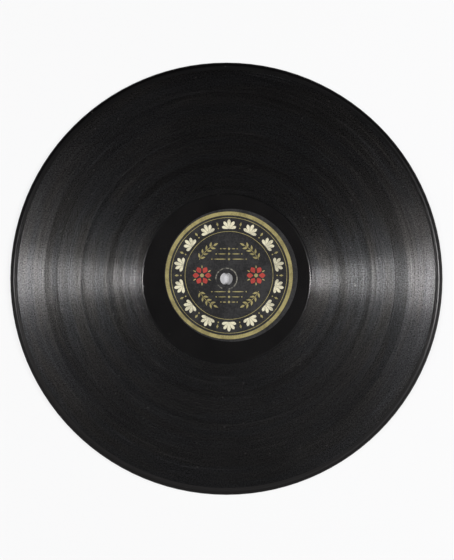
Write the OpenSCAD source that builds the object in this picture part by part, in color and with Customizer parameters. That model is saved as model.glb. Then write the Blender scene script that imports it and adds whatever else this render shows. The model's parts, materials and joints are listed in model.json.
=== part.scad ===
// Ten-inch double-sided shellac record, built up the way a laminated pressing is:
// a coarse core, a kraft paper ply and a fine shellac face on each side of it,
// and a paper label pressed into each face.
// Millimetres. The spindle axis is Z, and the record lies on its back rim bead at Z = 0.

/* [Disc] */
// Outside diameter of the record
disc_d = 250; // [175:1:305]
// Thickness from front land to back land
land_t = 2.2; // [1.8:0.1:3.2]
// Diameter of the spindle hole
bore_d = 7.26; // [6.8:0.02:8]

/* [Rim] */
// Width of the rounded nose at the edge, measured in from the outside
nose_w = 1.2; // [0.8:0.1:1.8]
// Flat step between the nose and the bead
bead_step = 0.8; // [0.1:0.1:1.5]
// Width of the raised bead at its foot
bead_w = 1.6; // [1.2:0.1:3]
// Width of the flat crest that the record rests on
bead_crest_w = 0.5; // [0.3:0.1:0.8]
// Height of the bead above the land
bead_h = 0.2; // [0.1:0.05:0.4]

/* [Groove] */
// Plain land between the bead and the first turn
lead_in_w = 0.5; // [0.3:0.1:4]
// Distance from one turn to the next
groove_pitch = 0.265; // [0.22:0.005:0.5]
// Width of the groove at the land
groove_w = 0.15; // [0.1:0.01:0.2]
// Depth of the groove below the land
groove_depth = 0.06; // [0.03:0.01:0.08]
// Diameter inside which there is no more music
music_inner_d = 98.4; // [95:0.2:120]
// Plain land between the last turn and the stop groove
stop_land_w = 0.35; // [0.2:0.05:1]
// Width, at the land, of the closed groove that stops the needle
stop_groove_w = 0.5; // [0.2:0.05:0.8]
// Depth of the stop groove below the land
stop_groove_depth = 0.12; // [0.05:0.01:0.15]

/* [Lamination] */
// Thickness of each shellac face
face_t = 0.4; // [0.3:0.05:0.5]
// Thickness of each kraft paper ply
paper_t = 0.12; // [0.08:0.02:0.2]
// Shellac left round the edge of the core
core_cover = 2; // [1.5:0.1:4]
// How far short of the core's edge each paper ply ends
paper_short = 3; // [1:0.5:8]

/* [Label] */
// Diameter of each paper label
label_d = 76.8; // [70:0.2:82]
// Thickness of the label paper
label_t = 0.12; // [0.08:0.02:0.18]
// How far each label lies below the land
label_sink = 0.03; // [0:0.01:0.08]
// Clearance round each label in its seat
label_play = 0.1; // [0.05:0.05:0.3]
// Clearance under each label in its seat
label_bed = 0.02; // [0.01:0.01:0.04]
// How far the front label was laid off the spindle axis, across
front_label_x = 2.7; // [-3:0.1:3]
// How far the front label was laid off the spindle axis, upwards
front_label_y = 2; // [-3:0.1:3]
// How far the back label was laid off the spindle axis, across
back_label_x = -1.2; // [-3:0.1:3]
// How far the back label was laid off the spindle axis, upwards
back_label_y = 0.8; // [-3:0.1:3]
// Diameter of the ring that the press bush leaves round the hole
bush_ring_d = 12.2; // [10:0.1:16]
// Width of the bush ring
bush_ring_w = 0.7; // [0.4:0.1:1.2]
// Height of the bush ring above the label
bush_ring_h = 0.08; // [0.04:0.01:0.12]

/* [Hidden] */
$fn = 180;
nose_steps = 10;

disc_r = disc_d / 2;
bore_r = bore_d / 2;
core_r = disc_r - core_cover;
paper_r = core_r - paper_short;
label_r = label_d / 2;
seat_r = label_r + label_play;
seat_depth = label_bed + label_t + label_sink;

// Heights above the middle plane of the disc
land_h = land_t / 2;
paper_top_h = land_h - face_t;
core_top_h = paper_top_h - paper_t;
middle_z = land_h + bead_h;

// Radii along a face, from the edge inwards
nose_r = disc_r - nose_w;
bead_out_r = nose_r - bead_step;
bead_in_r = bead_out_r - bead_w;
bead_mid_r = (bead_out_r + bead_in_r) / 2;
music_outer_r = bead_in_r - lead_in_w;
music_inner_r = music_inner_d / 2;
stop_groove_r = music_inner_r - stop_land_w - stop_groove_w / 2;
turns = floor((music_outer_r - music_inner_r) / groove_pitch);

// The rounded edge, from the widest point at the middle plane up to the land
nose_outline = [for (i = [0:nose_steps])
    let (a = 90 * i / nose_steps)
    [nose_r + nose_w * cos(a), land_h * sin(a)]];

bead_outline = [[bead_out_r, land_h],
                [bead_mid_r + bead_crest_w / 2, land_h + bead_h],
                [bead_mid_r - bead_crest_w / 2, land_h + bead_h],
                [bead_in_r, land_h]];

// One V cut across the land at radius r
function vee(r, w, depth) = [[r + w / 2, land_h], [r, land_h - depth], [r - w / 2, land_h]];

// Each turn of the playing groove is a closed ring here, at the true pitch
music_outline = [for (turn = [1:turns])
    for (p = vee(music_outer_r - (turn - 0.5) * groove_pitch, groove_w, groove_depth)) p];

// Section of a shellac face above the middle plane: its seat on the paper and the core,
// the edge that covers the core, then the outer surface from the edge back to the hole
face_outline = concat(
    [[bore_r, paper_top_h], [paper_r, paper_top_h], [paper_r, core_top_h],
     [core_r, core_top_h], [core_r, 0]],
    nose_outline, bead_outline, music_outline,
    vee(stop_groove_r, stop_groove_w, stop_groove_depth),
    [[bore_r, land_h]]);

module ring_plate(r, h) {
    difference() {
        cylinder(r = r, h = h);
        translate([0, 0, -h]) cylinder(r = bore_r, h = 3 * h);
    }
}

// Everything on one side of the middle plane is drawn facing up, then put on its side
module on_front() { translate([0, 0, middle_z]) children(); }
module on_back() { translate([0, 0, middle_z]) mirror([0, 0, 1]) children(); }

module core() {
    color("#3b3733") translate([0, 0, middle_z - core_top_h]) ring_plate(core_r, 2 * core_top_h);
}

module paper_ply() {
    color("#8d7350") translate([0, 0, core_top_h]) ring_plate(paper_r, paper_t);
}

module face(label_x, label_y) {
    color("#19181a") difference() {
        rotate_extrude() polygon(face_outline);
        translate([label_x, label_y, land_h - seat_depth]) cylinder(r = seat_r, h = 2 * seat_depth);
    }
}

// The paper is as flat as its seat, with the ring that the press bush raised round the hole
module label(label_x, label_y) {
    top_h = land_h - label_sink;
    foot_h = top_h - label_t;
    ring_r = bush_ring_d / 2;
    reach_r = label_r + norm([label_x, label_y]) + label_play;
    color("#35353a") intersection() {
        rotate_extrude() polygon([
            [bore_r, foot_h], [reach_r, foot_h], [reach_r, top_h],
            [ring_r + bush_ring_w / 2, top_h], [ring_r, top_h + bush_ring_h],
            [ring_r - bush_ring_w / 2, top_h], [bore_r, top_h]]);
        translate([label_x, label_y, foot_h - label_t])
            cylinder(r = label_r, h = 3 * label_t + bush_ring_h);
    }
}

core();
on_front() paper_ply();  // front_paper_ply
on_back() paper_ply();  // back_paper_ply
on_front() face(front_label_x, front_label_y);  // front_face
on_back() face(back_label_x, back_label_y);  // back_face
on_front() label(front_label_x, front_label_y);  // front_label
on_back() label(back_label_x, back_label_y);  // back_label
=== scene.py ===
# A ten-inch shellac record lying on a pale studio floor, seen from straight above.
import json
import math

import bpy
import numpy as np
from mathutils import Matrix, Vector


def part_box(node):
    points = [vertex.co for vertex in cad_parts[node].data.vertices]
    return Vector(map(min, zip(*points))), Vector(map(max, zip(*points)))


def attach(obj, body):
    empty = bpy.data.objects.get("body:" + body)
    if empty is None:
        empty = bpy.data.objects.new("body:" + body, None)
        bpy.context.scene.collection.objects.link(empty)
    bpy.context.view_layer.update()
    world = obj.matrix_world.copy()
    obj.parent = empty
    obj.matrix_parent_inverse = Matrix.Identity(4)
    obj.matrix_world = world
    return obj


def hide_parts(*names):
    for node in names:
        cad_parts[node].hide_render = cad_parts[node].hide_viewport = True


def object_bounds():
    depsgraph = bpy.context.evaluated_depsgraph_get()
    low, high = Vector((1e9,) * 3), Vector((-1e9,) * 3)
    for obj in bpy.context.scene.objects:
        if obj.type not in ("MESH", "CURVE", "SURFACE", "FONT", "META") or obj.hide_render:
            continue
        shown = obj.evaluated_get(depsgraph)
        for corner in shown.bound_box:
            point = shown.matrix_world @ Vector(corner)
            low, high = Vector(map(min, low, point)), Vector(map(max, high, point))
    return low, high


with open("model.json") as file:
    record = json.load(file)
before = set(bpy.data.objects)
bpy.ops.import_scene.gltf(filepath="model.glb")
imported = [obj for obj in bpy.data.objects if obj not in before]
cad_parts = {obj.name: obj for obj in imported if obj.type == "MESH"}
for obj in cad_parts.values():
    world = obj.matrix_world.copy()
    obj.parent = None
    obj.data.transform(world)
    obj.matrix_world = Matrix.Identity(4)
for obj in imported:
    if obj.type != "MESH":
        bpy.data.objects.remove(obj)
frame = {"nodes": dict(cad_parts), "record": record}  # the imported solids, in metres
cadLow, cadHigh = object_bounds()
mm = 0.001
fullTurn = 2 * math.pi

faceLow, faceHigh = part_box("front_face")
plyLow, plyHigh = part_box("front_paper_ply")
_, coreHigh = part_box("core")
mounts = {mount["name"]: mount for mount in frame["record"]["mounts"]}
middleZ = faceLow.z  # the plane where the two faces meet inside the edge
discRadius = min(-cadLow.x, -cadLow.y, cadHigh.x, cadHigh.y)
boreRadius = mounts["spindle_hole"]["dims"]["r_mm"] * mm
print(f"frame loaded: disc {2 * discRadius / mm:.1f} mm across, hole {2 * boreRadius / mm:.2f} mm")


# Mesh helpers

segments = 112  # points round every ring, so that a grooved face stays under 200,000 triangles
ringAngles = np.arange(segments) * fullTurn / segments


def ringRow(radius, height, centre=(0.0, 0.0)):
    row = np.empty((segments, 3))
    row[:, 0] = centre[0] + radius * np.cos(ringAngles)
    row[:, 1] = centre[1] + radius * np.sin(ringAngles)
    row[:, 2] = height
    return row


def joinRows(outer, inner):
    # quads between two rings of points, given the index of each ring's first point
    after = [(j + 1) % segments for j in range(segments)]
    return [(outer + j, outer + n, inner + n, inner + j) for j, n in enumerate(after)]


def putOnSide(points, side):
    # points are modelled face up about the middle plane; the back is turned over about X
    placed = np.array(points, float)
    if side == "back":
        placed[:, 1:] *= -1
    placed[:, 2] += middleZ
    return placed


def labelPlace(side):
    # centre, radius, foot and top of a label, as seen with its side facing up
    low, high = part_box(side + "_label")
    x, y = (low.x + high.x) / 2, (low.y + high.y) / 2
    foot, top = low.z - middleZ, high.z - middleZ
    if side == "back":
        y, foot, top = -y, -top, -foot
    return (x, y), (high.x - low.x) / 2, foot, top


def meshPiece(name, points, faces, sharpClass=None, smooth=True):
    mesh = bpy.data.meshes.new(name)
    mesh.from_pydata([tuple(p) for p in points], [], faces)
    mesh.update(calc_edges=True)
    if smooth:
        mesh.shade_smooth()
    if sharpClass is not None:  # an edge is sharp where both ends carry the same mark
        ends = np.empty(len(mesh.edges) * 2, np.int32)
        mesh.edges.foreach_get("vertices", ends)
        marks = np.asarray(sharpClass)[ends.reshape(-1, 2)]
        sharp = (marks[:, 0] == marks[:, 1]) & (marks[:, 0] > 0)
        mesh.edges.foreach_set("use_edge_sharp", sharp)
    piece = bpy.data.objects.new(name, mesh)
    bpy.context.scene.collection.objects.link(piece)
    return piece


bakeLayout = {
    "topReach": 0.49,  # the top fills the map as a disc
    "underMiddle": 0.92,  # what is hidden underneath goes small into a corner
    "underReach": 0.07,
}


def bakeMap(piece, points, reach, fullReach, isUnder):
    # reach is each point's distance from the middle, measured along the surface
    mesh = piece.data
    spread = np.maximum(np.hypot(points[:, 0], points[:, 1]), 1e-9)
    top = 0.5 + points[:, :2] * (bakeLayout["topReach"] * reach / fullReach / spread)[:, None]
    under = bakeLayout["underMiddle"] + points[:, :2] * (bakeLayout["underReach"] / fullReach)
    corners = np.empty(len(mesh.loops), np.int32)
    mesh.loops.foreach_get("vertex_index", corners)
    owner = np.repeat(np.arange(len(mesh.polygons)), [len(p.vertices) for p in mesh.polygons])
    uv = np.where(np.asarray(isUnder)[owner][:, None], under[corners], top[corners])
    mesh.uv_layers.new(name="OFBake").data.foreach_set("uv", uv.astype(np.float32).ravel())


# Node helpers

def newFinish(name):
    finish = bpy.data.materials.new(name)
    finish.use_nodes = True
    tree = finish.node_tree
    return finish, tree, tree.nodes["Principled BSDF"]


def feed(tree, value, socket):
    if isinstance(value, bpy.types.NodeSocket):
        tree.links.new(value, socket)
    else:
        socket.default_value = value


def addNode(tree, kind, inputs=None, **settings):
    node = tree.nodes.new(kind)
    for key, value in settings.items():
        setattr(node, key, value)
    for key, value in (inputs or {}).items():
        feed(tree, value, node.inputs[key])
    return node


def calc(tree, operation, first, second=0.0, clamp=False):
    inputs = {0: first, 1: second}
    return addNode(tree, "ShaderNodeMath", inputs, operation=operation, use_clamp=clamp).outputs[0]


def fade(tree, value, start, end, low=0.0, high=1.0):
    inputs = {"Value": value, "From Min": start, "From Max": end, "To Min": low, "To Max": high}
    node = addNode(tree, "ShaderNodeMapRange", inputs, interpolation_type="SMOOTHSTEP")
    return node.outputs["Result"]


def blendValue(tree, amount, first, second):
    inputs = {"Value": amount, "To Min": first, "To Max": second}
    return addNode(tree, "ShaderNodeMapRange", inputs).outputs["Result"]


def blendColour(tree, amount, first, second):
    node = addNode(tree, "ShaderNodeMixRGB", {"Fac": amount, "Color1": first, "Color2": second})
    return node.outputs["Color"]


def noise(tree, vector, scale, detail, rough):
    inputs = {"Vector": vector, "Scale": scale, "Detail": detail, "Roughness": rough}
    return addNode(tree, "ShaderNodeTexNoise", inputs).outputs["Fac"]


def vary(tree, value, *swings):
    # adds to a value some noises, each swung about its middle by a given amount
    for source, amount in swings:
        swing = calc(tree, "MULTIPLY", calc(tree, "SUBTRACT", source, 0.5), amount)
        value = calc(tree, "ADD", value, swing)
    return value


def polarCoords(tree):
    # object coordinates, the distance from the spindle in mm, and the direction from it
    place = addNode(tree, "ShaderNodeTexCoord").outputs["Object"]
    inputs = {0: place, 1: (1.0, 1.0, 0.0)}
    flat = addNode(tree, "ShaderNodeVectorMath", inputs, operation="MULTIPLY").outputs[0]
    length = addNode(tree, "ShaderNodeVectorMath", {0: flat}, operation="LENGTH").outputs["Value"]
    radius = calc(tree, "MULTIPLY", length, 1 / mm)
    heading = addNode(tree, "ShaderNodeVectorMath", {0: flat}, operation="NORMALIZE").outputs[0]
    return place, radius, heading


def ringNoise(tree, radius, heading, along, across, detail, rough):
    # a noise that changes slowly round the record and fast across it
    split = addNode(tree, "ShaderNodeSeparateXYZ", {0: heading})
    inputs = {
        "X": calc(tree, "MULTIPLY", split.outputs["X"], along),
        "Y": calc(tree, "MULTIPLY", split.outputs["Y"], along),
        "Z": calc(tree, "MULTIPLY", radius, across),
    }
    return noise(tree, addNode(tree, "ShaderNodeCombineXYZ", inputs).outputs[0], 1.0, detail, rough)


def byRadius(tree, radius, zones, blend):
    # a value for each zone, working outwards from the hole; a zone starts at its radius in mm
    value = zones[0][1]
    for start, following in zones[1:]:
        value = blendValue(tree, fade(tree, radius, start - blend, start + blend), value, following)
    return value


def bumped(tree, height, strength, distance, under=None):
    inputs = {"Strength": strength, "Distance": distance, "Height": height}
    if under is not None:
        inputs["Normal"] = under
    return addNode(tree, "ShaderNodeBump", inputs).outputs["Normal"]


# Shellac; a pair named From is where a fade starts and where it ends

shellac = {
    "black": (0.0016, 0.0015, 0.0017, 1),
    "brown": (0.0025, 0.0023, 0.0025, 1),
    "toneSwing": 0.9,  # how far clouds and arcs shift the one towards the other
    "toneFrom": (0.3, 0.7),
    "haze": (0.0060, 0.0060, 0.0063, 1),  # a paler tone, laid more towards the front and in cloudy patches
    "hazeReach": 0.06,  # m in front of the spindle where it is full, and behind where it ends
    "hazePatches": (0.25, 0.75, 0.6, 1.0),  # clouds from and to, and how much haze is left there
    "dust": (0.030, 0.029, 0.028, 1),
    "dustGap": 15.0,  # mm between specks
    "dustSize": 0.45,  # mm
    "dustFrom": (0.45, 0.7),
    # noises: scale, detail, roughness
    "cloud": (28.0, 4.0, 0.6),
    "landGrain": (1300.0, 2.0, 0.6),
    "wallGrain": (1250.0, 2.0, 0.6),
    # noises drawn out round the record: along, across per mm, detail, roughness
    "arc": (1.4, 0.22, 3.0, 0.6),
    "scuff": (16.0, 3.4, 2.0, 0.6),
    "streak": (7.0, 1.5, 3.0, 0.7),
    "hairline": (2.2, 1.2, 1.0, 0.5),
    "band": (1.6, 0.16, 2.0, 0.5),
    "ior": 1.52,
    "coatRough": 0.17,
    "coatIor": 1.55,
    "sideShadeFrom": (-1.0, 0.4),  # across the record, from where the painted shade on the sheen is full, on the −X side, to where it ends
}


def dustSpecks(tree, place):
    # one speck in about half of the cells of a loose grid
    gap, size = shellac["dustGap"], shellac["dustSize"]
    inputs = {"Vector": place, "Scale": 1 / (gap * mm)}
    cell = addNode(tree, "ShaderNodeTexVoronoi", inputs, voronoi_dimensions="2D").outputs
    chance = addNode(tree, "ShaderNodeSeparateXYZ", {0: cell["Color"]}).outputs["X"]
    reach = fade(tree, chance, *shellac["dustFrom"], 0.0, size / gap)
    return calc(tree, "LESS_THAN", cell["Distance"], reach)


def shellacColour(tree, place, arc):
    cloud = noise(tree, place, *shellac["cloud"])
    swing, reach = shellac["toneSwing"], shellac["hazeReach"]
    tone = fade(tree, vary(tree, 0.5, (cloud, swing), (arc, swing)), *shellac["toneFrom"])
    colour = blendColour(tree, tone, shellac["black"], shellac["brown"])
    forward = addNode(tree, "ShaderNodeSeparateXYZ", {0: place}).outputs["Y"]
    front = fade(tree, forward, reach, -reach)
    haze = calc(tree, "MULTIPLY", front, fade(tree, cloud, *shellac["hazePatches"]))
    colour = blendColour(tree, haze, colour, shellac["haze"])
    return blendColour(tree, dustSpecks(tree, place), colour, shellac["dust"]), cloud, front


def sideShade(tree, heading, left):
    # painted shade on the sheen: how much shine is left, down to the given share on the −X side, where
    # less light falls
    across = addNode(tree, "ShaderNodeSeparateXYZ", {0: heading}).outputs["X"]
    return fade(tree, across, *shellac["sideShadeFrom"], left, 1.0)


def setGloss(bsdf):
    bsdf.inputs["Coat Roughness"].default_value = shellac["coatRough"]
    bsdf.inputs["Coat IOR"].default_value = shellac["coatIor"]
    bsdf.inputs["IOR"].default_value = shellac["ior"]


pressedLand = {
    # radius in mm where a zone starts, its roughness, the clear gloss over it, and its shine
    "zones": [
        (0.0, 0.20, 0.35, 1.0),  # dead wax
        (48.2, 0.25, 0.90, 1.4),  # stop groove
        (49.0, 0.20, 0.35, 1.0),  # land between the turns
        (120.7, 0.34, 0.15, 0.80),  # lead-in and bead
        (122.9, 0.42, 0.0, 0.16),  # ground edge
    ],
    "zoneBlend": 0.15,  # mm to each side of where a zone starts
    "softEdge": 0.2,  # mm
    "rubbedAndSideShade": (0.0088, 0.0084, 0.0085, 1),  # land that sleeves have rubbed
    "rubbedInside": 48.4,  # mm
    "rubbedPatches": (0.3, 0.7, 0.5, 1.0),  # clouds from and to, and how rubbed it is there
    "rimInside": 120.7,  # mm, from where handling has scuffed the rim all round
    "rimScuff": 0.13 * mm,
    "rimFrontSheen": (0.0140, 0.0135, 0.0136, 1),  # painted sheen: grey laid on the rim towards the front, standing in for front light on its outer slopes
    "rimSideShade": 0.6,  # painted shade: how much of the rim's shine is left on the −X side
    "cloudRough": 0.08,
    "grainRough": 0.06,
    "bump": (0.08, 0.05 * mm),  # strength and depth
}


def pressedFinish():
    # the smooth shellac, as the press left it
    p = pressedLand
    finish, tree, bsdf = newFinish("shellac")
    place, radius, heading = polarCoords(tree)
    arc = ringNoise(tree, radius, heading, *shellac["arc"])
    scuff = ringNoise(tree, radius, heading, *shellac["scuff"])
    grain = noise(tree, place, *shellac["landGrain"])
    onRim = fade(tree, radius, p["rimInside"], p["rimInside"] + p["softEdge"])
    colour, cloud, front = shellacColour(tree, place, arc)
    # painted sheen: the rim is greyed towards the front, standing in for front light on its outer
    # slopes
    colour = blendColour(tree, calc(tree, "MULTIPLY", onRim, front), colour, p["rimFrontSheen"])
    inside = fade(tree, radius, p["rubbedInside"] + p["softEdge"], p["rubbedInside"] - p["softEdge"])
    rubbedAndSideShade = calc(tree, "MULTIPLY", inside, fade(tree, cloud, *p["rubbedPatches"]))
    feed(tree, blendColour(tree, rubbedAndSideShade, colour, p["rubbedAndSideShade"]), bsdf.inputs["Base Color"])
    starts, *qualities = zip(*p["zones"])
    zones = [list(zip(starts, values)) for values in qualities]
    rough, gloss, shine = (byRadius(tree, radius, zone, p["zoneBlend"]) for zone in zones)
    # painted shade: the rim's sheen is cut down towards the −X side
    left = blendValue(tree, onRim, 1.0, sideShade(tree, heading, p["rimSideShade"]))
    rough = vary(tree, rough, (cloud, p["cloudRough"]), (grain, p["grainRough"]))
    feed(tree, rough, bsdf.inputs["Roughness"])
    feed(tree, calc(tree, "MULTIPLY", gloss, left), bsdf.inputs["Coat Weight"])
    feed(tree, calc(tree, "MULTIPLY", shine, left), bsdf.inputs["Specular Tint"])
    setGloss(bsdf)
    normal = bumped(tree, scuff, onRim, p["rimScuff"], bumped(tree, grain, *p["bump"]))
    feed(tree, normal, bsdf.inputs["Normal"])
    return finish


grooveWall = {
    "rough": 0.33,
    "streakRough": 0.08,
    "cloudRough": 0.04,
    "frontRough": 0.06,  # how much rougher the grooves are at the front than at the back
    "hairlineFrom": (0.60, 0.70),
    "hairlineRough": 0.13,  # turns worn more spread their sheen wider
    "hairlineShine": 0.35,
    "warm": (1.0, 0.955, 0.90, 1),  # the fine turns tint their sheen in faint bands
    "cool": (0.93, 0.955, 1.0, 1),
    "bandFrom": (0.38, 0.62),
    "coat": 0.85,
    "shine": 0.84,
    "grainShine": 3.9,
    "streakShine": 1.0,
    "arcShine": 0.4,
    "leastShine": 0.1,
    "rubbedAndSideShade": 0.92,  # painted shade: how much of the groove's shine is left on the −X side
    "ripple": (1.0, 0.14 * mm),  # how far the recorded sound ruffles the walls
}


def grooveFinish():
    # the walls of the groove, which the needles have greyed in streaks
    g = grooveWall
    finish, tree, bsdf = newFinish("worn_groove")
    place, radius, heading = polarCoords(tree)
    kinds = ("arc", "streak", "hairline", "band")
    arc, streak, line, band = (ringNoise(tree, radius, heading, *shellac[kind]) for kind in kinds)
    hairline = fade(tree, line, *g["hairlineFrom"])
    grain = noise(tree, place, *shellac["wallGrain"])
    colour, cloud, front = shellacColour(tree, place, arc)
    feed(tree, colour, bsdf.inputs["Base Color"])
    swings = (grain, g["grainShine"]), (streak, g["streakShine"]), (arc, g["arcShine"])
    shine = calc(tree, "MULTIPLY", hairline, g["hairlineShine"])
    shine = calc(tree, "MAXIMUM", calc(tree, "ADD", vary(tree, 1.0, *swings), shine), g["leastShine"])
    # painted shade: the groove's sheen is cut down towards the −X side
    shine = calc(tree, "MULTIPLY", shine, sideShade(tree, heading, g["rubbedAndSideShade"]))
    tint = blendColour(tree, fade(tree, band, *g["bandFrom"]), g["warm"], g["cool"])
    worn = calc(tree, "MULTIPLY", shine, g["shine"])
    sheen = addNode(tree, "ShaderNodeVectorMath", {0: tint, "Scale": worn}, operation="SCALE")
    feed(tree, sheen.outputs[0], bsdf.inputs["Specular Tint"])
    gloss = calc(tree, "MULTIPLY", shine, g["coat"], clamp=True)
    feed(tree, gloss, bsdf.inputs["Coat Weight"])
    swings = (streak, g["streakRough"]), (cloud, g["cloudRough"]), (front, g["frontRough"])
    spread = calc(tree, "MULTIPLY", hairline, g["hairlineRough"])
    rough = calc(tree, "ADD", vary(tree, g["rough"], *swings), spread)
    feed(tree, rough, bsdf.inputs["Roughness"])
    setGloss(bsdf)
    feed(tree, bumped(tree, grain, *g["ripple"]), bsdf.inputs["Normal"])
    return finish


shellacFace = {
    "landHeight": 1.1 * mm,  # above the middle plane
    "noseWidth": 1.2 * mm,
    "noseSteps": 8,
    "beadStep": 0.8 * mm,
    "beadWidth": 1.6 * mm,
    "beadSteps": 10,
    "leadIn": 0.5 * mm,
    "pitch": 0.265 * mm,
    "grooveWidth": 0.15 * mm,
    "grooveDepth": 0.06 * mm,
    "musicInner": 49.2 * mm,
    "stopLand": 0.35 * mm,
    "stopWidth": 0.5 * mm,
    "stopDepth": 0.12 * mm,
    "seatPlay": 0.1 * mm,
    "seatDepth": 0.17 * mm,
    "waxSteps": 6,
    # how loud the music is: outer radius of a passage in mm, and how wide the groove is there
    "passages": [(120.9, 1.27), (113.0, 1.17), (105.0, 0.76), (97.2, 0.92), (84.2, 0.76), (82.0, 0.87),
                 (68.8, 0.68), (65.3, 0.93), (61.3, 0.96), (52.0, 0.84)],
    "turnSwing": 0.08,  # how much the width changes from turn to turn
    "sideSwing": 0.06,  # and from one side of a turn to the other
    "widthLimits": (0.3, 0.94),  # least and most, as a share of the pitch
    "seeds": {"front": 11, "back": 23},
}


def grooveGain(radius, turn, angle, turns, seed):
    s = shellacFace
    gain = np.ones_like(radius)
    for outer, value in s["passages"]:
        gain[radius < outer * mm] = value
    swings = np.random.default_rng(seed).normal(0.0, 1.0, (3, turns + 2))
    whole, acrossX, acrossY = (np.interp(turn, np.arange(turns + 2), row) for row in swings)
    gain *= 1 + s["turnSwing"] * whole
    gain *= 1 + s["sideSwing"] * (acrossX * np.cos(angle) + acrossY * np.sin(angle))
    return gain


def grooveSpiral(outerRadius, seed):
    # one unbroken V from the lead-in to the dead wax, running inwards anticlockwise
    s = shellacFace
    pitch = s["pitch"]
    turns = int((outerRadius - s["musicInner"]) / pitch)
    count = turns * segments + 1
    turn = np.arange(count) / segments
    angle = turn * fullTurn
    middle = outerRadius - pitch / 2 - pitch * turn
    width = grooveGain(middle, turn, angle, turns, seed) * s["grooveWidth"]
    least, most = s["widthLimits"]
    half = np.clip(width, least * pitch, most * pitch) / 2
    section = (middle + half, 0.0), (middle, -s["grooveDepth"]), (middle - half, 0.0)
    points = np.empty((count, 3, 3))
    for k, (radius, height) in enumerate(section):
        points[:, k, 0] = radius * np.cos(angle)
        points[:, k, 1] = radius * np.sin(angle)
        points[:, k, 2] = s["landHeight"] + height
    return points.reshape(-1, 3), turns


def spiralFaces(first, outerRow, innerRow, turns):
    # each step of the spiral has an outer edge, a valley and an inner edge; the walls come first
    count = turns * segments

    def edge(n):
        return first + 3 * n

    def valley(n):
        return first + 3 * n + 1

    def inside(n):
        return first + 3 * n + 2

    faces = []
    for n in range(count):
        faces.append((edge(n), edge(n + 1), valley(n + 1), valley(n)))
        faces.append((valley(n), valley(n + 1), inside(n + 1), inside(n)))
    for n in range(count - segments):
        faces.append((inside(n), inside(n + 1), edge(n + 1 + segments), edge(n + segments)))
    last = segments - 1
    for j in range(last):
        faces.append((outerRow + j, outerRow + j + 1, edge(j + 1), edge(j)))
        n = count - segments + j + 1
        faces.append((inside(n), inside(n + 1), innerRow + (j + 2) % segments, innerRow + j + 1))
    # the start and the end of the groove, each shut by a small wall
    faces.append((outerRow + last, outerRow, edge(0), inside(0), edge(segments), edge(last)))
    faces.append((edge(0), valley(0), inside(0)))
    n = count - segments
    faces.append((inside(n), inside(n + 1), innerRow + 1, innerRow, inside(count), edge(count)))
    faces.append((edge(count), inside(count), valley(count)))
    return faces, 2 * count


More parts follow.
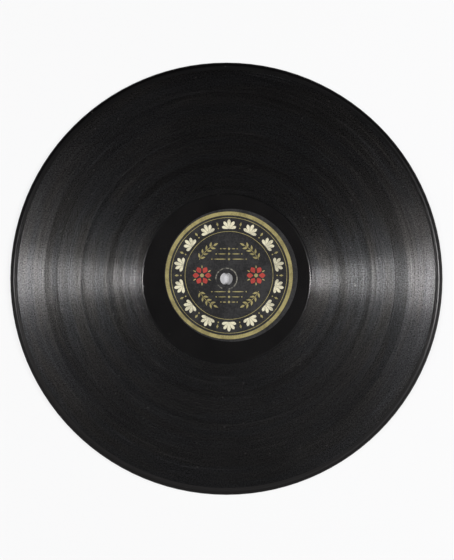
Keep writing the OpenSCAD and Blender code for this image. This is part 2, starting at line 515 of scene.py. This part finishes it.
def buildFace(side):
    s = shellacFace
    land = s["landHeight"]
    centre, labelRadius, _, _ = labelPlace(side)
    seatRadius = labelRadius + s["seatPlay"]
    beadHeight = faceHigh.z - middleZ - land
    noseRadius = discRadius - s["noseWidth"]
    beadOuter = noseRadius - s["beadStep"]
    musicOuter = beadOuter - s["beadWidth"] - s["leadIn"]
    stopMiddle = s["musicInner"] - s["stopLand"] - s["stopWidth"] / 2

    # rows from the edge inwards: radius, height, centre, sharp
    onAxis = (0.0, 0.0)
    outerRows = []
    for i in range(s["noseSteps"] + 1):
        a = i / s["noseSteps"] * math.pi / 2
        radius = noseRadius + s["noseWidth"] * math.cos(a)
        outerRows.append((radius, land * math.sin(a), onAxis, i == 0))
    beadHalf = s["beadWidth"] / 2
    bow = (beadHalf ** 2 + beadHeight ** 2) / (2 * beadHeight)  # radius of the bead's round top
    for i in range(s["beadSteps"] + 1):
        x = beadHalf * (1 - 2 * i / s["beadSteps"])
        rise = math.sqrt(bow ** 2 - x ** 2) - bow + beadHeight
        outerRows.append((beadOuter - beadHalf + x, land + rise, onAxis, False))
    outerRows.append((musicOuter, land, onAxis, False))

    innerRows = []
    for offset, depth in ((0.5, 0.0), (0.0, s["stopDepth"]), (-0.5, 0.0)):
        innerRows.append((stopMiddle + offset * s["stopWidth"], land - depth, onAxis, offset != 0))
    waxOuter = stopMiddle - s["stopWidth"] / 2
    for i in range(1, s["waxSteps"] + 1):
        t = i / s["waxSteps"]
        radius = waxOuter + (seatRadius - waxOuter) * t
        innerRows.append((radius, land, (centre[0] * t, centre[1] * t), i == s["waxSteps"]))
    innerRows.append((seatRadius, land - s["seatDepth"], centre, True))
    innerRows.append((boreRadius, land - s["seatDepth"], onAxis, True))
    underFrom = len(outerRows) + len(innerRows)
    plyTop, plyFoot = plyHigh.z - middleZ, plyLow.z - middleZ
    plyRadius, coreRadius = plyHigh.x, coreHigh.x
    for radius, height in ((boreRadius, plyTop), (plyRadius, plyTop), (plyRadius, plyFoot),
                           (coreRadius, plyFoot), (coreRadius, 0.0)):
        innerRows.append((radius, height, onAxis, True))

    spiral, turns = grooveSpiral(musicOuter, s["seeds"][side])
    rows = outerRows + innerRows
    points = [ringRow(radius, height, about) for radius, height, about, _ in outerRows] + [spiral]
    points += [ringRow(radius, height, about) for radius, height, about, _ in innerRows]
    starts = [i * segments for i in range(len(outerRows))]
    firstSpiral = len(outerRows) * segments
    starts += [firstSpiral + len(spiral) + i * segments for i in range(len(innerRows))]
    # each sharp row has a mark of its own, and so have the two edges of the groove
    marks = [np.full(segments, 3 + i if row[3] else 0) for i, row in enumerate(rows)]
    marks.insert(len(outerRows), np.tile([1, 0, 2], len(spiral) // 3))

    faces, under, walls = [], [], []
    for i in range(len(rows)):
        if i == len(outerRows) - 1:
            new, wallCount = spiralFaces(firstSpiral, starts[i], starts[i + 1], turns)
        else:
            new, wallCount = joinRows(starts[i], starts[(i + 1) % len(rows)]), 0
        faces += new
        under += [i >= underFrom] * len(new)
        walls += [1] * wallCount + [0] * (len(new) - wallCount)
    points = np.concatenate(points)
    piece = meshPiece(side + "FaceShellac", putOnSide(points, side), faces, np.concatenate(marks))

    spread = np.hypot(points[:, 0], points[:, 1])
    drop = np.maximum(land - points[:, 2], 0.0)
    reach = spread + np.where(spread > noseRadius - mm, drop, 0.0)  # the edge is laid flat in the map
    bakeMap(piece, points, reach, discRadius + land, under)
    piece.data.materials.append(pressedMaterial)
    piece.data.materials.append(grooveMaterial)
    piece.data.polygons.foreach_set("material_index", walls)
    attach(piece, "root")
    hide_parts(side + "_face")
    print(f"{side} face: {turns} turns of groove, {len(faces)} faces")


pressedMaterial, grooveMaterial = pressedFinish(), grooveFinish()
for side in ("front", "back"):
    buildFace(side)


# Label paper

labelPaper = {
    "ground": (0.013, 0.013, 0.0137, 1),
    "pale": (0.038, 0.038, 0.0385, 1),
    "toneFrom": (0.3, 0.75),
    "bare": (0.34, 0.33, 0.27, 1),  # where the print ground has worn off the paper
    # noises: scale, detail, roughness
    "fibre": (1100.0, 4.0, 0.65),
    "cloud": (70.0, 4.0, 0.6),
    "patch": (1.3, 3.0, 0.6),
    "rough": 0.58,
    "fibreRough": 0.16,
    "gloss": 0.25,
    "bump": (0.25, 0.03 * mm),
    "bushWear": (0.45, 0.1),  # mm from the ring where the wear starts, and where it is full
    "patchFrom": (0.42, 0.60),
    "fibreFrom": (0.3, 0.55),
}


def labelFinish():
    p = labelPaper
    finish, tree, bsdf = newFinish("label_paper")
    place, radius, heading = polarCoords(tree)
    fibre, cloud = noise(tree, place, *p["fibre"]), noise(tree, place, *p["cloud"])
    tone = vary(tree, 0.5, (fibre, 1.0), (cloud, 1.0))
    colour = blendColour(tree, fade(tree, tone, *p["toneFrom"]), p["ground"], p["pale"])
    # the ring round the hole has rubbed pale, in patches
    fromRing = calc(tree, "SUBTRACT", radius, labelSheet["bushRadius"] / mm)
    fromRing = calc(tree, "ABSOLUTE", fromRing)
    onRing = fade(tree, fromRing, *p["bushWear"])
    patch = fade(tree, noise(tree, heading, *p["patch"]), *p["patchFrom"])
    worn = calc(tree, "MULTIPLY", onRing, patch)
    worn = calc(tree, "MULTIPLY", worn, fade(tree, fibre, *p["fibreFrom"]))
    feed(tree, blendColour(tree, worn, colour, p["bare"]), bsdf.inputs["Base Color"])
    feed(tree, vary(tree, p["rough"], (fibre, p["fibreRough"])), bsdf.inputs["Roughness"])
    bsdf.inputs["Specular IOR Level"].default_value = p["gloss"]
    feed(tree, bumped(tree, fibre, *p["bump"]), bsdf.inputs["Normal"])
    return finish


labelSheet = {
    "bushRadius": 6.1 * mm,
    "bushWidth": 0.7 * mm,
    "bushHeight": 0.08 * mm,
    "bushSteps": 6,
    "edgeRound": 0.04 * mm,
    "edgeFlat": 0.25 * mm,
    "openSteps": 6,
}


def buildLabel(side):
    s = labelSheet
    centre, radius, foot, highest = labelPlace(side)
    top = highest - s["bushHeight"]
    edge, flat = s["edgeRound"], s["edgeFlat"]
    onAxis = (0.0, 0.0)
    rows = [(radius, foot, centre, True), (radius, top - edge, centre, False),
            (radius - edge, top, centre, False)]
    bushOuter = s["bushRadius"] + s["bushWidth"] / 2
    openOuter = radius - flat
    for i in range(s["openSteps"] + 1):
        t = i / s["openSteps"]
        about = (centre[0] * (1 - t), centre[1] * (1 - t))
        rows.append((openOuter + (bushOuter - openOuter) * t, top, about, False))
    for i in range(1, s["bushSteps"] + 1):
        t = i / s["bushSteps"]
        rise = s["bushHeight"] * (0.5 - 0.5 * math.cos(fullTurn * t))
        rows.append((bushOuter - s["bushWidth"] * t, top + rise, onAxis, False))
    rows.append((boreRadius + flat, top, onAxis, False))
    rows.append((boreRadius + edge, top, onAxis, False))
    rows.append((boreRadius, top - edge, onAxis, False))
    rows.append((boreRadius, foot, onAxis, True))
    points = np.concatenate([ringRow(r, h, about) for r, h, about, _ in rows])
    marks = np.concatenate([np.full(segments, i + 1 if row[3] else 0) for i, row in enumerate(rows)])
    faces, under = [], []
    for i in range(len(rows)):
        faces += joinRows(i * segments, (i + 1) % len(rows) * segments)
        under += [i == 0 or i >= len(rows) - 2] * segments
    piece = meshPiece(side + "LabelPaper", putOnSide(points, side), faces, marks)
    spread = np.hypot(points[:, 0], points[:, 1])
    bakeMap(piece, points, spread, radius + math.hypot(*centre), under)
    piece.data.materials.append(labelMaterial)
    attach(piece, "root")
    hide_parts(side + "_label")
    print(f"{side} label: paper {2 * radius / mm:.1f} mm across")
    return top


labelMaterial = labelFinish()
labelTops = {side: buildLabel(side) for side in ("front", "back")}


# Label print

inks = {
    # colour, how much a rub takes off it, metal, roughness
    "Gold": ((0.47, 0.41, 0.178, 1), 0.55, 0.25, 0.45),
    "Cream": ((0.84, 0.80, 0.58, 1), 0.35, 0.0, 0.60),
    "Red": ((0.48, 0.062, 0.048, 1), 0.50, 0.0, 0.55),
}
inkWear = {
    # noises: scale, detail, roughness
    "speck": (1900.0, 3.0, 0.65),
    "cloud": (160.0, 4.0, 0.65),
    "dull": 0.62,  # how much of its colour a thin place keeps
    "thinSwing": (0.8, 1.2),  # of specks and clouds
    "thinFrom": (0.30, 0.62),
    "lostSwing": (1.1, 0.9),
    "lostFrom": (0.72, 0.86),
    "speckRough": 0.2,
    "gloss": 0.3,
    "bump": (0.2, 0.02 * mm),
}


def inkFinish(name):
    w = inkWear
    colour, rub, metal, rough = inks[name]
    finish, tree, bsdf = newFinish(name.lower() + "_ink")
    place = addNode(tree, "ShaderNodeTexCoord").outputs["Object"]
    speck, cloud = noise(tree, place, *w["speck"]), noise(tree, place, *w["cloud"])
    dull = tuple(w["dull"] * value for value in colour[:3]) + (1,)
    full = fade(tree, vary(tree, 0.5, *zip((speck, cloud), w["thinSwing"])), *w["thinFrom"])
    lost = fade(tree, vary(tree, 0.5, *zip((speck, cloud), w["lostSwing"])), *w["lostFrom"], 0.0, rub)
    mottled = blendColour(tree, full, dull, colour)
    feed(tree, blendColour(tree, lost, mottled, labelPaper["pale"]), bsdf.inputs["Base Color"])
    feed(tree, vary(tree, rough, (speck, w["speckRough"])), bsdf.inputs["Roughness"])
    bsdf.inputs["Metallic"].default_value = metal
    bsdf.inputs["Specular IOR Level"].default_value = w["gloss"]
    feed(tree, bumped(tree, speck, *w["bump"]), bsdf.inputs["Normal"])
    return finish


# outlines in mm, anticlockwise
def leafOutline(length, width, fullness=0.75, blunt=1.0, steps=9):
    # a leaf or petal that grows along +Y from the origin; under 1, blunt rounds its tip
    t = np.linspace(0.0, 1.0, steps + 1)
    half = width / 2 * np.abs(np.sin(math.pi * t ** fullness)) ** blunt
    half[-1] = 0.0
    right = np.stack([half, t * length], axis=1)
    left = np.stack([-half, t * length], axis=1)[1:-1][::-1]
    return np.concatenate([right, left])


def diamondOutline(width, height):
    return np.array([(-width / 2, 0), (0, -height / 2), (width / 2, 0), (0, height / 2)], float)


def dotOutline(radius, steps=16):
    a = np.arange(steps) * fullTurn / steps
    return radius * np.stack([np.cos(a), np.sin(a)], axis=1)


def ruleOutline(length, height):
    tips, shoulder = length / 2, length / 5
    half = height / 2
    return np.array([(-tips, 0), (-shoulder, -half), (shoulder, -half), (tips, 0), (shoulder, half),
                     (-shoulder, half)], float)


def arcOutline(radius, width, start, end, steps=12):
    a = np.radians(np.linspace(start, end, steps + 1))
    ray = np.stack([np.cos(a), np.sin(a)], axis=1)
    return np.concatenate([ray * (radius + width / 2), ray[::-1] * (radius - width / 2)])


def moved(outline, x=0.0, y=0.0, turn=0.0, out=0.0):
    # slides an outline out along +Y, turns it about the origin, then shifts it
    a = math.radians(turn)
    px, py = outline[:, 0], outline[:, 1] + out
    turnedX = px * math.cos(a) - py * math.sin(a)
    turnedY = px * math.sin(a) + py * math.cos(a)
    return np.stack([turnedX + x, turnedY + y], axis=1)


# mm, and leaves as length and width
labelPrint = {
    "offset": {"front": (1.5, 1.93), "back": (-1.8, -0.3)},  # print's middle from the spindle
    "turn": {"front": 0.0, "back": 25.0},
    "rings": [(35.8, 2.1), (33.4, 0.28), (25.4, 0.28)],  # middle radius and width
    "palmettes": 14,
    "palmetteFoot": 26.9,
    "palmetteLobes": [(0, 5.6, 1.95), (36, 5.2, 1.85), (74, 4.3, 1.75)],  # lean, length, width
    "lobeForm": (1.9, 0.6),  # fullness and bluntness
    "betweenRadius": 30.2,
    "betweenDiamond": (1.3, 2.6),
    "betweenDot": 0.42,
    "betweenDotGap": 2.4,
    "blossomAt": 15.6,
    "blossomEye": 1.1,
    "petals": 6,
    "petal": (3.9, 2.9, 1.15),  # length, width, fullness
    "petalFrom": 1.5,
    "sepal": (2.0, 0.75),
    "sepalFrom": 4.0,
    "sprayRadius": 19.4,
    "sprayFrom": 28.0,  # degrees
    "sprayTo": 62.0,
    "sprayStem": 0.3,
    "sprayPairs": 4,
    "sprayFirst": 0.35,  # where the first pair grows, as a share of the gap between pairs
    "sprayLeaf": (2.9, 1.15),
    "sprayLean": 42.0,
    "sprayLeafGap": 0.35,  # from the middle of the stem
    "sprayTip": (3.0, 1.2),
    "sprayTipAfter": 0.6,  # degrees past the end of the stem
    # height on the label and length
    "rules": [(9.4, 18.0), (12.4, 13.0), (15.4, 7.6), (-9.4, 18.0), (-12.4, 13.0), (-15.4, 7.6)],
    "ruleWidth": 0.55,
    "ruleGap": 1.4,  # left for the diamond in the middle
    "ruleDiamond": (1.6, 1.6),
    "ruleDot": 0.38,
    "ruleDotGap": 0.9,
    "sunk": 0.004 * mm,
    "proud": 0.012 * mm,
    "mapReach": 42 * mm,
}


def creamShapes():
    p = labelPrint
    shapes = []
    for k in range(p["palmettes"]):
        turn = k * 360 / p["palmettes"]
        for lean, length, width in p["palmetteLobes"]:
            for way in ((1,) if lean == 0 else (-1, 1)):
                lobe = moved(leafOutline(length, width, *p["lobeForm"]), turn=way * lean)
                shapes.append(moved(lobe, turn=turn, out=p["palmetteFoot"]))
    return shapes


def redShapes():
    p = labelPrint
    shapes = []
    for x in (-p["blossomAt"], p["blossomAt"]):
        for k in range(p["petals"]):
            turn = (k + 0.5) * 360 / p["petals"]
            shapes.append(moved(leafOutline(*p["petal"]), x, 0.0, turn, p["petalFrom"]))
    return shapes


def goldShapes():
    p = labelPrint
    shapes = []
    for k in range(p["palmettes"]):
        turn = (k + 0.5) * 360 / p["palmettes"]
        shapes.append(moved(diamondOutline(*p["betweenDiamond"]), turn=turn, out=p["betweenRadius"]))
        dotRadius = p["betweenRadius"] - p["betweenDotGap"]
        shapes.append(moved(dotOutline(p["betweenDot"]), turn=turn, out=dotRadius))
    for x in (-p["blossomAt"], p["blossomAt"]):
        shapes.append(moved(dotOutline(p["blossomEye"]), x))
        for k in range(p["petals"]):
            turn = k * 360 / p["petals"]
            shapes.append(moved(leafOutline(*p["sepal"]), x, 0.0, turn, p["sepalFrom"]))
    for quarter in range(4):
        shapes += spray(quarter)
    gap = p["ruleGap"]
    for y, length in p["rules"]:
        for way in (-1, 1):
            rule = ruleOutline(length / 2 - gap, p["ruleWidth"])
            shapes.append(moved(rule, way * (length / 4 + gap / 2), y))
            shapes.append(moved(dotOutline(p["ruleDot"]), way * (length / 2 + p["ruleDotGap"]), y))
        shapes.append(moved(diamondOutline(*p["ruleDiamond"]), 0.0, y))
    return shapes


def spray(quarter):
    # a stem along an arc with leaves in pairs, in one quarter of the label
    p = labelPrint
    radius, start, end = p["sprayRadius"], p["sprayFrom"], p["sprayTo"]
    shapes = [arcOutline(radius, p["sprayStem"], start, end)]
    gap = (end - start) / p["sprayPairs"]
    for k in range(p["sprayPairs"]):
        at = start + (k + p["sprayFirst"]) * gap
        for way in (-1, 1):
            foot = radius - way * p["sprayLeafGap"]
            leaf = moved(leafOutline(*p["sprayLeaf"]), foot, 0.0, way * p["sprayLean"])
            shapes.append(moved(leaf, turn=at))
    tip = moved(leafOutline(*p["sprayTip"]), radius)
    shapes.append(moved(tip, turn=end + p["sprayTipAfter"]))
    flipX, flipY = quarter in (1, 2), quarter in (2, 3)
    flipped = []
    for shape in shapes:
        shape = shape * (-1 if flipX else 1, -1 if flipY else 1)
        flipped.append(shape[::-1] if flipX != flipY else shape)
    return flipped


def printPiece(side, name, shapes, rings=()):
    p = labelPrint
    foot, top = labelTops[side] - p["sunk"], labelTops[side] + p["proud"]
    offset, turn = p["offset"][side], p["turn"][side]
    centre = (offset[0] * mm, offset[1] * mm)
    points, faces, under = [], [], []
    for shape in shapes:
        placed = moved(shape, offset[0], offset[1], turn) * mm
        n, first = len(placed), len(points)
        points += [(x, y, foot) for x, y in placed] + [(x, y, top) for x, y in placed]
        faces.append(tuple(first + n + i for i in range(n)))
        faces.append(tuple(first + i for i in reversed(range(n))))
        for i in range(n):
            after = (i + 1) % n
            faces.append((first + i, first + after, first + n + after, first + n + i))
        under += [False] + [True] * (n + 1)
    for radius, width in rings:
        inner, outer = (radius - width / 2) * mm, (radius + width / 2) * mm
        first = len(points)
        for r, h in ((outer, foot), (outer, top), (inner, top), (inner, foot)):
            points += [tuple(spot) for spot in ringRow(r, h, centre)]
        for i in range(4):
            faces += joinRows(first + i * segments, first + (i + 1) % 4 * segments)
            under += [i != 1] * segments
    points = np.array(points)
    piece = meshPiece(side + name + "Print", putOnSide(points, side), faces, smooth=False)
    bakeMap(piece, points, np.hypot(points[:, 0], points[:, 1]), p["mapReach"], under)
    piece.data.materials.append(inkMaterials[name])
    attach(piece, "root")


inkMaterials = {name: inkFinish(name) for name in inks}
for side in ("front", "back"):
    printPiece(side, "Gold", goldShapes(), labelPrint["rings"])
    printPiece(side, "Cream", creamShapes())
    printPiece(side, "Red", redShapes())
    print(f"{side} label printed")


# Inside the laminate

laminate = {
    # dark and light of the mass, and the scale of its specks
    "core": ((0.035, 0.031, 0.028, 1), (0.085, 0.078, 0.070, 1), 700.0),
    "kraft": ((0.20, 0.125, 0.060, 1), (0.33, 0.22, 0.115, 1), 420.0),
    "speckForm": (5.0, 0.7),  # detail and roughness of the noise
    "speckFrom": (0.4, 0.62),
    "rough": 0.85,
    "bump": (0.4, 0.05 * mm),
}


def insideFinish(name):
    dark, light, scale = laminate[name]
    finish, tree, bsdf = newFinish(name)
    place = addNode(tree, "ShaderNodeTexCoord").outputs["Object"]
    speck = noise(tree, place, scale, *laminate["speckForm"])
    colour = blendColour(tree, fade(tree, speck, *laminate["speckFrom"]), dark, light)
    feed(tree, colour, bsdf.inputs["Base Color"])
    bsdf.inputs["Roughness"].default_value = laminate["rough"]
    feed(tree, bumped(tree, speck, *laminate["bump"]), bsdf.inputs["Normal"])
    return finish


coreMaterial, kraftMaterial = insideFinish("core"), insideFinish("kraft")
insides = {"core": coreMaterial, "front_paper_ply": kraftMaterial, "back_paper_ply": kraftMaterial}
for nodeName, material in insides.items():
    node = frame["nodes"][nodeName]
    node.data.materials.clear()
    node.data.materials.append(material)
print("core and paper plies finished")


# Studio

studio = {
    "floorColour": (0.77, 0.785, 0.80, 1),
    "floorRough": 0.9,
    "floorGloss": 0.1,
    "floorGlow": 0.84,  # how far the floor is lifted towards white where it is only background
    "glowFrom": (30.0, 60.0),  # mm from the spindle, so that the floor in the hole stays in shade
    "floorRings": (0.02, 0.3, 1.0),
    "floorRadius": 2.6,
    "coveRadius": 0.5,
    "coveSteps": 8,
    "wallHeight": 0.8,
    "lampDistance": 1.5,
    "lampColour": (1.0, 0.978, 0.985),
    # direction and height in degrees, part of a plain level of light, width and height in m
    "lamps": {
        "rightLamp": (0.0, 40.0, 0.59, 0.30, 0.60),
        "leftLamp": (180.0, 40.0, 0.35, 0.18, 0.60),
        "frontLamp": (-42.0, 40.0, 0.025, 1.20, 0.60),
    },
    "worldShare": 0.018,
    "worldColour": (0.93, 0.97, 1.0),
}


def buildFloor():
    s = studio
    rows = [(radius, 0.0) for radius in (*s["floorRings"], s["floorRadius"] - s["coveRadius"])]
    for i in range(1, s["coveSteps"] + 1):
        a = i / s["coveSteps"] * math.pi / 2
        radius = s["floorRadius"] + s["coveRadius"] * (math.sin(a) - 1)
        rows.append((radius, s["coveRadius"] * (1 - math.cos(a))))
    rows.append((s["floorRadius"], s["wallHeight"]))
    rows.reverse()
    points = np.concatenate([ringRow(radius, height) for radius, height in rows])
    faces = [f for i in range(len(rows) - 1) for f in joinRows(i * segments, (i + 1) * segments)]
    faces.append(tuple((len(rows) - 1) * segments + j for j in range(segments)))
    floor = meshPiece("studioFloor", points, faces)
    finish, tree, bsdf = newFinish("studio_floor")
    bsdf.inputs["Base Color"].default_value = s["floorColour"]
    bsdf.inputs["Roughness"].default_value = s["floorRough"]
    bsdf.inputs["Specular IOR Level"].default_value = s["floorGloss"]
    ray = addNode(tree, "ShaderNodeLightPath").outputs
    seen = calc(tree, "ADD", ray["Is Camera Ray"], ray["Is Glossy Ray"])
    seen = calc(tree, "ADD", seen, ray["Is Transmission Ray"], clamp=True)
    _, radius, _ = polarCoords(tree)
    lift = calc(tree, "MULTIPLY", seen, fade(tree, radius, *s["glowFrom"], 0.0, s["floorGlow"]))
    white = addNode(tree, "ShaderNodeEmission", {"Color": (1, 1, 1, 1), "Strength": 1.0}).outputs[0]
    mix = addNode(tree, "ShaderNodeMixShader", {0: lift, 1: bsdf.outputs[0], 2: white})
    tree.links.new(mix.outputs[0], tree.nodes["Material Output"].inputs["Surface"])
    floor.data.materials.append(finish)


def addLamp(name, azimuth, elevation, share, width, height):
    # a soft box aimed at the record; share is its part of the light that falls on the floor
    d = studio["lampDistance"]
    a, e = math.radians(azimuth), math.radians(elevation)
    lamp = bpy.data.lights.new(name, "AREA")
    lamp.shape = "RECTANGLE"
    lamp.size, lamp.size_y = width, height
    lamp.color = studio["lampColour"]
    lamp.energy = share * math.pi * math.pi * d * d / math.sin(e)
    stand = bpy.data.objects.new(name, lamp)
    stand.location = (d * math.cos(a) * math.cos(e), d * math.sin(a) * math.cos(e), d * math.sin(e))
    stand.rotation_mode = "QUATERNION"
    stand.rotation_quaternion = stand.location.to_track_quat("Z", "Y")
    bpy.context.scene.collection.objects.link(stand)


buildFloor()
for lampName, settings in studio["lamps"].items():
    addLamp(lampName, *settings)
world = bpy.data.worlds.new("studioWorld")
bpy.context.scene.world = world
world.use_nodes = True
background = world.node_tree.nodes["Background"]
background.inputs["Color"].default_value = (*studio["worldColour"], 1)
background.inputs["Strength"].default_value = studio["worldShare"]
print("studio lit")


# Camera

photoCamera = {
    "lens": 85.0,
    "sensor": 36.0,
    "imageHeight": 560,
    "discPixels": 216.16,  # the disc's radius in the image
    "discAt": (226.42, 278.74),  # its middle in the image
    "imageMiddle": (227.0, 280.0),
}


def placeCamera():
    c = photoCamera
    camera = bpy.data.cameras.new("photoCamera")
    camera.lens, camera.sensor_width = c["lens"], c["sensor"]
    pixel = discRadius / c["discPixels"]
    spot = bpy.data.objects.new("photoCamera", camera)
    spot.location = (
        (c["imageMiddle"][0] - c["discAt"][0]) * pixel,
        (c["discAt"][1] - c["imageMiddle"][1]) * pixel,
        middleZ + pixel * c["imageHeight"] * c["lens"] / c["sensor"],
    )
    bpy.context.scene.collection.objects.link(spot)
    bpy.context.scene.camera = spot


placeCamera()
bpy.context.scene.view_settings.view_transform = "Standard"
print("camera placed")
